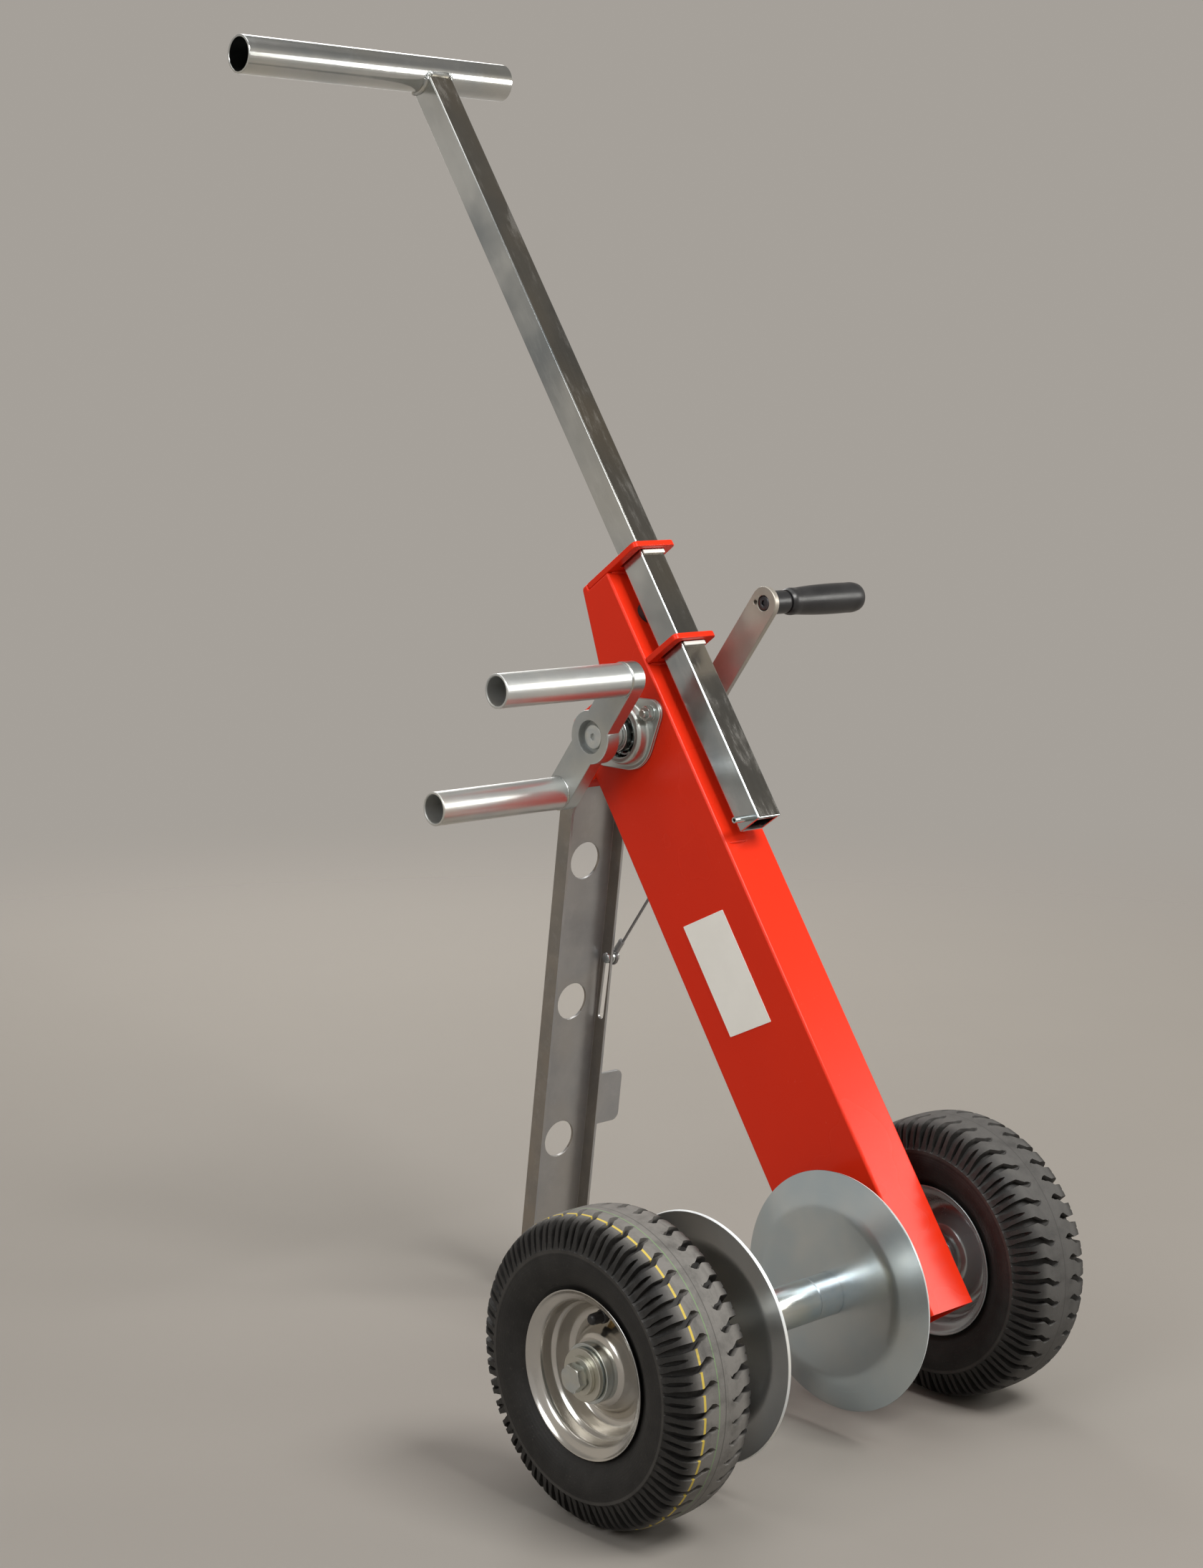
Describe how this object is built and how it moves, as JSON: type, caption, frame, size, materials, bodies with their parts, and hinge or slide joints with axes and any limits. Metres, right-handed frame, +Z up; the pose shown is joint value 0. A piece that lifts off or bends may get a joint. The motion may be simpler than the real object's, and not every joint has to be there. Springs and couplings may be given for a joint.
{
  "type": "hose winding trolley",
  "caption": "Two-wheeled hose winding trolley: leaning box beam on an axle and fold-out leg, hand crank turning a pronged fork, guide roller with flared discs, sliding drawbar handle.",
  "frame": {"origin": "on the floor, under the middle of the object's outline", "axes": "+X along the axle to the crank handle's side, +Y from the wheels to the leg, +Z up"},
  "size_m": [0.5646, 0.7952, 1.2724],
  "materials": {
    "red_paint": "gloss red powder coat",
    "zinc": "bright zinc plate",
    "bright_steel": "bright drawn tube",
    "galvanised": "smooth grey sheet",
    "rim_alloy": "polished",
    "tyre": "black rubber",
    "rubber": "black rubber",
    "black_plastic": "satin black",
    "white_plastic": "white",
    "brass": "plain",
    "label": "blank label"
  },
  "bodies": {
    "frame": {"beam_housing": "red_paint", "top_guide_plate": "red_paint", "lower_guide_plate": "red_paint", "guide_liners": "white_plastic", "friction_pad": "rubber", "axle_shaft": "zinc", "axle_tube": "red_paint", "axle_spacers": "zinc", "axle_washers": "zinc", "axle_bolts": "zinc", "rating_plate": "label", "bearing_flanges": "zinc", "outer_races": "zinc", "flange_bolts": "zinc", "flange_nuts": "zinc", "hinge_bracket": "red_paint", "hinge_bolt": "zinc", "hinge_nut": "zinc", "anchor_lug": "red_paint", "anchor_bolt": "zinc"},
    "crank": {"crank_shaft": "zinc", "inner_races": "zinc", "ball_cages": "zinc", "set_screws": "zinc", "fork_plate": "zinc", "upper_prong": "zinc", "lower_prong": "zinc", "shaft_screws": "zinc", "crank_arm": "zinc", "handle_screw": "zinc", "handle_collar": "black_plastic", "handle_pin": "zinc"},
    "grip": {"hand_grip": "black_plastic"},
    "drawbar": {"drawbar_tube": "bright_steel", "cross_handle": "bright_steel", "stop_pin": "zinc"},
    "left_wheel": {"left_tyre": "tyre", "left_rim": "rim_alloy", "left_hub": "zinc", "left_wheel_bearings": "zinc", "left_valve": "brass", "left_valve_cap": "black_plastic"},
    "right_wheel": {"right_tyre": "tyre", "right_rim": "rim_alloy", "right_hub": "zinc", "right_wheel_bearings": "zinc", "right_valve": "brass", "right_valve_cap": "black_plastic"},
    "guide_roller": {"left_disc": "zinc", "right_disc": "zinc", "roller_tube": "zinc", "roller_bushes": "white_plastic"},
    "leg": {"support_leg": "galvanised", "rubber_foot": "rubber"},
    "stay": {"stay_wire": "zinc", "stay_thimbles": "zinc", "stay_ferrules": "zinc", "slot_bolt": "zinc", "slot_nut": "zinc"}
  },
  "joints": [
    {"name": "crank_turn", "type": "hinge", "parent": "frame", "child": "crank", "pos_m": [0.096, 0.03896, 0.59869], "axis": [1, 0, 0], "continuous": true},
    {"name": "grip_spin", "type": "hinge", "parent": "crank", "child": "grip", "pos_m": [0.096, -0.05933, 0.72494], "axis": [1, 0, 0], "continuous": true},
    {"name": "drawbar_slide", "type": "slide", "parent": "frame", "child": "drawbar", "axis": [0, 0.5563, 0.831], "range_m": [-0.53, 0.17]},
    {"name": "left_wheel_spin", "type": "hinge", "parent": "frame", "child": "left_wheel", "pos_m": [0.096, -0.26758, 0.13], "axis": [1, 0, 0], "continuous": true},
    {"name": "right_wheel_spin", "type": "hinge", "parent": "frame", "child": "right_wheel", "pos_m": [0.096, -0.26758, 0.13], "axis": [1, 0, 0], "continuous": true},
    {"name": "roller_spin", "type": "hinge", "parent": "frame", "child": "guide_roller", "pos_m": [0.096, -0.26758, 0.13], "axis": [1, 0, 0], "continuous": true},
    {"name": "leg_fold", "type": "hinge", "parent": "frame", "child": "leg", "pos_m": [0.096, 0.1082, 0.54752], "axis": [1, 0, 0], "range_deg": [-37, 0]},
    {"name": "stay_swing", "type": "hinge", "parent": "frame", "child": "stay", "pos_m": [0.096, 0.05407, 0.46667], "axis": [1, 0, 0], "range_deg": [-61.03, 0]}
  ],
  "couplings": [
    {"joint": "stay_swing", "follows": "leg_fold", "ratio": 1.6359}
  ]
}
